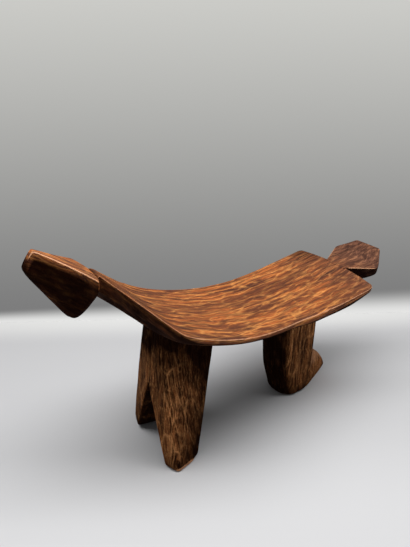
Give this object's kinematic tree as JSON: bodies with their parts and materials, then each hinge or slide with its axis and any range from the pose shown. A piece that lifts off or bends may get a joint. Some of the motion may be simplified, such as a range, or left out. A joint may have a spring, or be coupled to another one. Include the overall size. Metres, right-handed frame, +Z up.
{
  "type": "travel chair",
  "caption": "Low carved wooden travel chair: sagging plank seat that rises into a neck and wedge head, flared tail plate, forked front legs and a stout rear leg with a heel.",
  "frame": {"origin": "on the floor, under the middle of the overall length and width", "axes": "+X from head to tail, +Y across to the far side of the picture, +Z up"},
  "size_m": [0.452, 0.1266, 0.2641],
  "materials": {
    "seat_wood": "satin, worn and handled",
    "head_wood": "satin, dark patina",
    "tail_wood": "satin, worn",
    "leg_wood": "matt, tool-marked and streaked"
  },
  "bodies": {
    "root": {"seat": "seat_wood", "neck": "seat_wood", "head": "head_wood", "tail": "tail_wood", "front_leg_near": "leg_wood", "front_leg_far": "leg_wood", "rear_leg": "leg_wood", "heel": "leg_wood"}
  },
  "joints": []
}
